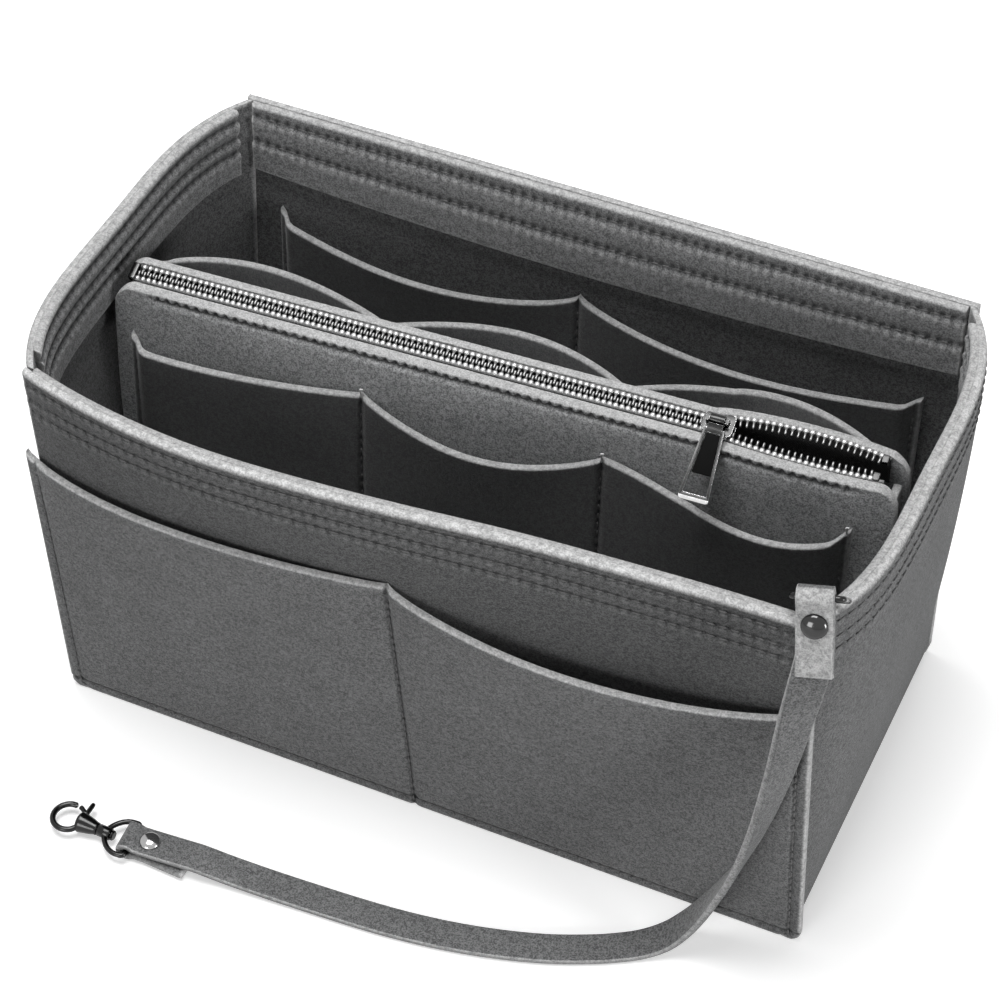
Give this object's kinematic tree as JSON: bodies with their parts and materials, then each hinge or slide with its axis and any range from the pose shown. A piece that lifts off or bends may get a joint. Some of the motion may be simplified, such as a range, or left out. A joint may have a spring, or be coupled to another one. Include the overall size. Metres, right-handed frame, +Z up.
{
  "type": "purse organizer insert",
  "caption": "Open felt box insert that divides a handbag, with slip pockets, a loose zip pouch standing inside and a key strap with a swivel clasp.",
  "frame": {"origin": "middle of the felt box and pouch, on the surface that the base stands on", "axes": "+Z up, +X along the length from left to right, the pocketed front faces -Y"},
  "size_m": [0.31, 0.2254, 0.1863],
  "materials": {
    "felt": "grey pressed felt",
    "felt_dark": "darker grey felt",
    "zip_tape": "woven black tape",
    "nickel": "bright nickel plate",
    "gunmetal": "dark polished plate",
    "inlay": "gloss black enamel"
  },
  "bodies": {
    "box": {"base_gusset": "felt", "front_panel": "felt", "rear_panel": "felt", "front_rim_band": "felt", "rear_rim_band": "felt", "left_rim_band": "felt", "right_rim_band": "felt", "front_pocket_panel": "felt", "rear_pocket_panel": "felt", "strap": "felt", "strap_upper_rivet": "nickel", "strap_lower_rivet": "nickel", "anchor_ring": "gunmetal", "anchor_loop": "felt_dark"},
    "pouch": {"pouch_front_panel": "felt", "pouch_rear_panel": "felt", "pouch_gusset": "felt_dark", "pouch_front_pockets": "felt", "pouch_rear_pockets": "felt", "zip_tape_front": "zip_tape", "zip_tape_rear": "zip_tape", "zip_teeth_front": "nickel", "zip_teeth_rear": "nickel", "zip_bottom_stop": "nickel", "zip_top_stop_front": "nickel", "zip_top_stop_rear": "nickel"},
    "slider": {"zip_slider": "gunmetal"},
    "puller": {"zip_puller": "gunmetal", "zip_puller_inlay": "inlay"},
    "bail": {"clasp_bail": "gunmetal"},
    "hook": {"clasp_hook": "gunmetal"},
    "lever": {"clasp_lever": "gunmetal"}
  },
  "joints": [
    {"name": "pouch_lift", "type": "slide", "parent": "box", "child": "pouch", "axis": [0, 0, 1], "range_m": [0, 0.168]},
    {"name": "zip_run", "type": "slide", "parent": "pouch", "child": "slider", "axis": [0.9986, 0.0523, 0], "range_m": [-0.208, 0.047], "deforming": ["zip_teeth_front", "zip_teeth_rear"]},
    {"name": "puller_flip", "type": "hinge", "parent": "slider", "child": "puller", "pos_m": [0.07569, 0.01033, 0.15523], "axis": [-0.9986, -0.0523, 0], "range_deg": [0, 205]},
    {"name": "bail_fold", "type": "hinge", "parent": "box", "child": "bail", "pos_m": [-0.0866, -0.12811, 0.0041], "axis": [-0.0698, 0.9976, 0], "range_deg": [0, 100]},
    {"name": "hook_swivel", "type": "hinge", "parent": "bail", "child": "hook", "pos_m": [-0.09717, -0.12885, 0.0041], "axis": [-0.9986, 0.0523, 0], "continuous": true},
    {"name": "lever_open", "type": "hinge", "parent": "hook", "child": "lever", "pos_m": [-0.1069, -0.12533, 0.0041], "axis": [0, 0, 1], "range_deg": [0, 20], "stiffness_Nm_per_rad": 0.002, "springref_deg": -11.46}
  ]
}
